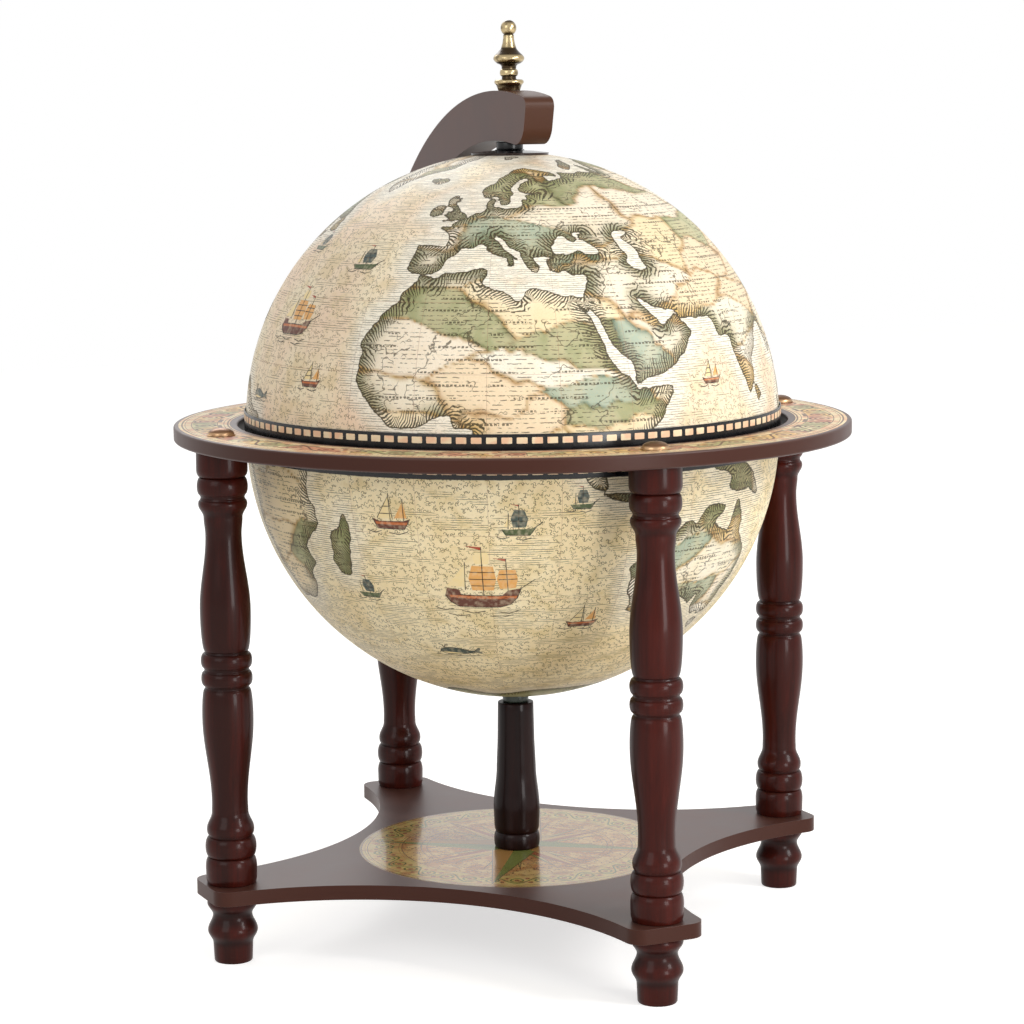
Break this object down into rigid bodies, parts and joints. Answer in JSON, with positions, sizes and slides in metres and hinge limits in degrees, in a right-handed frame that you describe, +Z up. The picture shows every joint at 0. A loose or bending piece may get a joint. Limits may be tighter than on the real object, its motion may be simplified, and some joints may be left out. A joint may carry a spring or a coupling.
{
  "type": "globe bar cabinet",
  "caption": "Table globe drinks cabinet: a hinged upper half on a half meridian, a lower bowl with a bottle and glass insert, a horizon ring on turned legs and a lobed shelf.",
  "frame": {"origin": "on the floor, on the globe's vertical axis, which is the centre of the shelf and of the horizon ring", "axes": "+Z up through the pole; -Y to the front leg, opposite the hinge; +Y to the back leg, where the half meridian is hinged; +X to the right leg"},
  "size_m": [0.419, 0.419, 0.5651],
  "materials": {
    "lacquered_wood": "gloss lacquer",
    "brown_board": "satin lacquer",
    "inner_board": "satin lacquer",
    "map_shell": "printed and lacquered",
    "printed_paper": "printed and lacquered",
    "black_plastic": "gloss",
    "antique_brass": "antiqued",
    "steel": "plain"
  },
  "bodies": {
    "stand": {"bar_insert": "inner_board", "bottle_floor": "inner_board", "bowl_band": "black_plastic", "bowl_nut": "steel", "bowl_shell": "map_shell", "bowl_washer": "steel", "column": "lacquered_wood", "column_bolt": "steel", "column_collar": "black_plastic", "foot_back": "lacquered_wood", "foot_front": "lacquered_wood", "foot_left": "lacquered_wood", "foot_right": "lacquered_wood", "foot_stud_back": "steel", "foot_stud_front": "steel", "foot_stud_left": "steel", "foot_stud_right": "steel", "glass_floor": "inner_board", "hinge_leaf_ring": "antique_brass", "hinge_leaf_ring_screw_left": "antique_brass", "hinge_leaf_ring_screw_right": "antique_brass", "hinge_pin": "steel", "horizon_ring": "brown_board", "leg_back": "lacquered_wood", "leg_front": "lacquered_wood", "leg_left": "lacquered_wood", "leg_right": "lacquered_wood", "leg_screw_back": "steel", "leg_screw_front": "steel", "leg_screw_left": "steel", "leg_screw_right": "steel", "ring_print": "printed_paper", "screw_cap_front": "antique_brass", "screw_cap_left": "antique_brass", "screw_cap_right": "antique_brass", "shelf": "brown_board", "shelf_print": "printed_paper"},
    "lid": {"arm": "brown_board", "finial": "antique_brass", "hinge_leaf_arm": "antique_brass", "hinge_leaf_arm_screw_left": "antique_brass", "hinge_leaf_arm_screw_right": "antique_brass", "pole_bolt": "steel", "pole_collar": "black_plastic", "pole_nut": "steel", "pole_washer": "steel"},
    "dome": {"dome_band": "black_plastic", "dome_shell": "map_shell", "pole_plate": "brown_board"}
  },
  "joints": [
    {"name": "lid_hinge", "type": "hinge", "parent": "stand", "child": "lid", "pos_m": [0, 0.2037, 0.3239], "axis": [-1, 0, 0], "range_deg": [0, 90]},
    {"name": "dome_spin", "type": "hinge", "parent": "lid", "child": "dome", "pos_m": [0, 0, 0.32], "axis": [0, 0, 1], "continuous": true}
  ]
}
